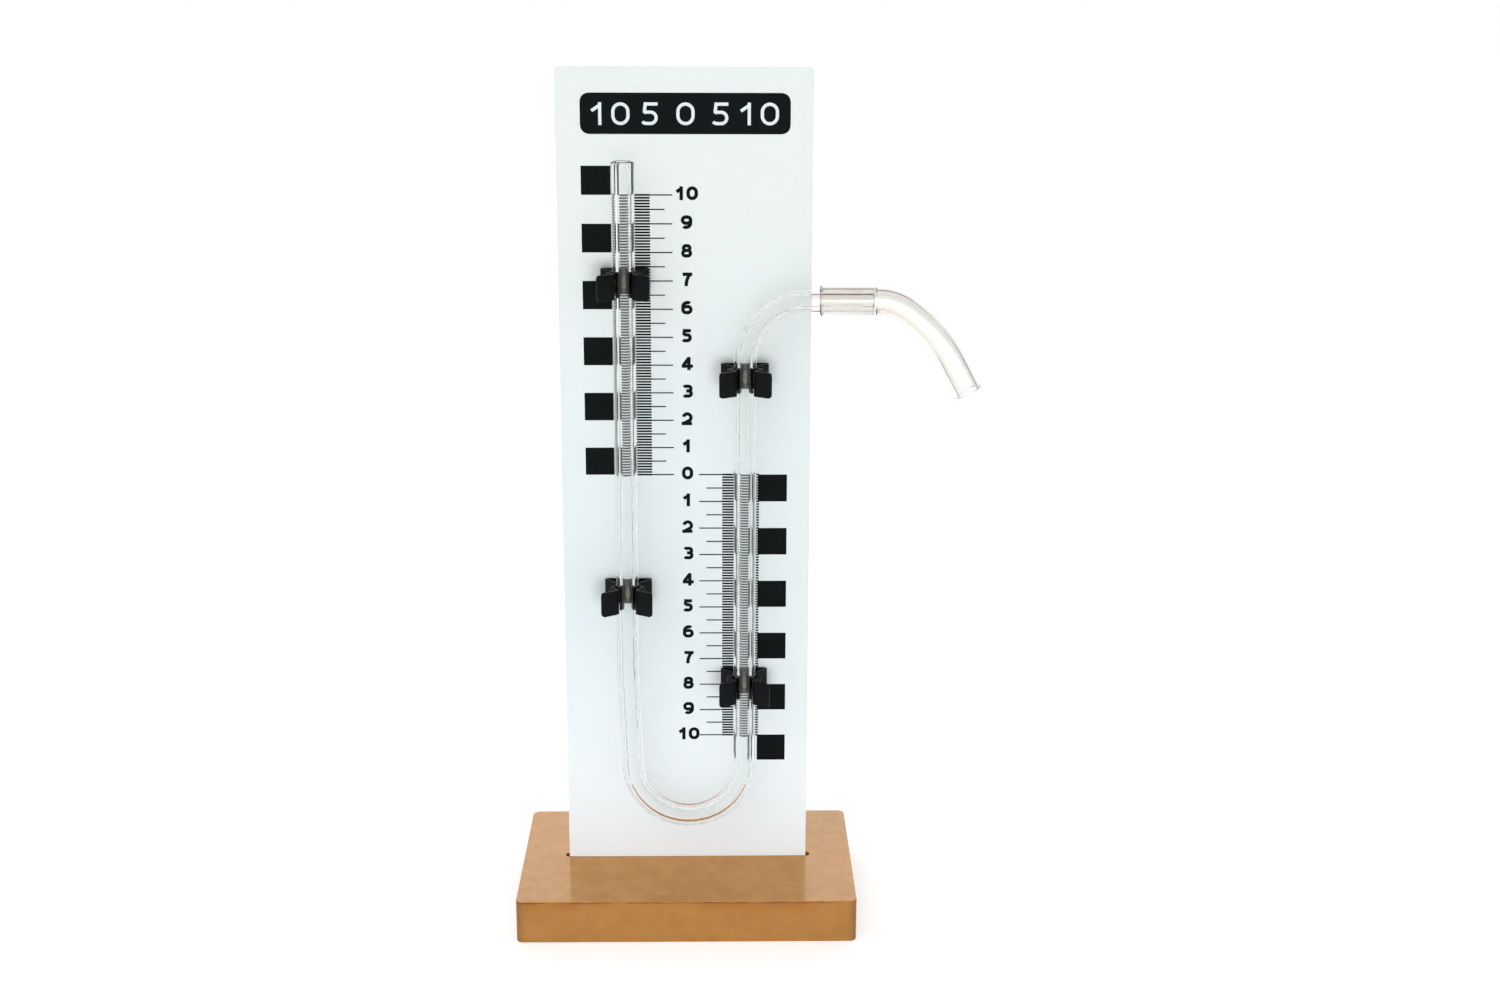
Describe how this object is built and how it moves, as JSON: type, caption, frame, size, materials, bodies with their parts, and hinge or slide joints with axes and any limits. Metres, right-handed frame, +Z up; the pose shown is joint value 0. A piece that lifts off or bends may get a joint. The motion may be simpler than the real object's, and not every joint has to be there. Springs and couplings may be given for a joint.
{
  "type": "u-tube manometer",
  "caption": "Bent glass U-tube held by spring clips on an upright white scale board, standing in a wooden base, with a short clear hose on its side outlet.",
  "frame": {"origin": "centre of the base's underside", "axes": "+X to the right, towards the side outlet and its hose; +Y from the scale's face towards the back of the board; +Z up, along the arms of the tube"},
  "size_m": [0.1651, 0.08, 0.3085],
  "materials": {
    "wood": "clear varnish",
    "white_board": "satin, with printed black scale",
    "glass": "clear, fire-polished ends",
    "clear_hose": "soft, clear",
    "black_plastic": "satin",
    "brass": "turned"
  },
  "bodies": {
    "base": {"base_block": "wood"},
    "board": {"scale_board": "white_board", "clip_left_upper": "black_plastic", "clip_left_lower": "black_plastic", "clip_right_upper": "black_plastic", "clip_right_lower": "black_plastic", "screw_left_upper": "brass", "screw_left_lower": "brass", "screw_right_upper": "brass", "screw_right_lower": "brass", "washer_left_upper": "brass", "washer_left_lower": "brass", "washer_right_upper": "brass", "washer_right_lower": "brass", "nut_left_upper": "brass", "nut_left_lower": "brass", "nut_right_upper": "brass", "nut_right_lower": "brass"},
    "tube": {"glass_tube": "glass"},
    "hose": {"hose": "clear_hose"}
  },
  "joints": [
    {"name": "board_lift", "type": "slide", "parent": "base", "child": "board", "axis": [0, 0, 1], "range_m": [0, 0.0075]},
    {"name": "tube_slide", "type": "slide", "parent": "board", "child": "tube", "axis": [0, 0, 1], "range_m": [-0.0025, 0.015]},
    {"name": "hose_swivel", "type": "hinge", "parent": "tube", "child": "hose", "pos_m": [0.0654, -0.0125, 0.2299], "axis": [1, 0, 0], "continuous": true}
  ]
}
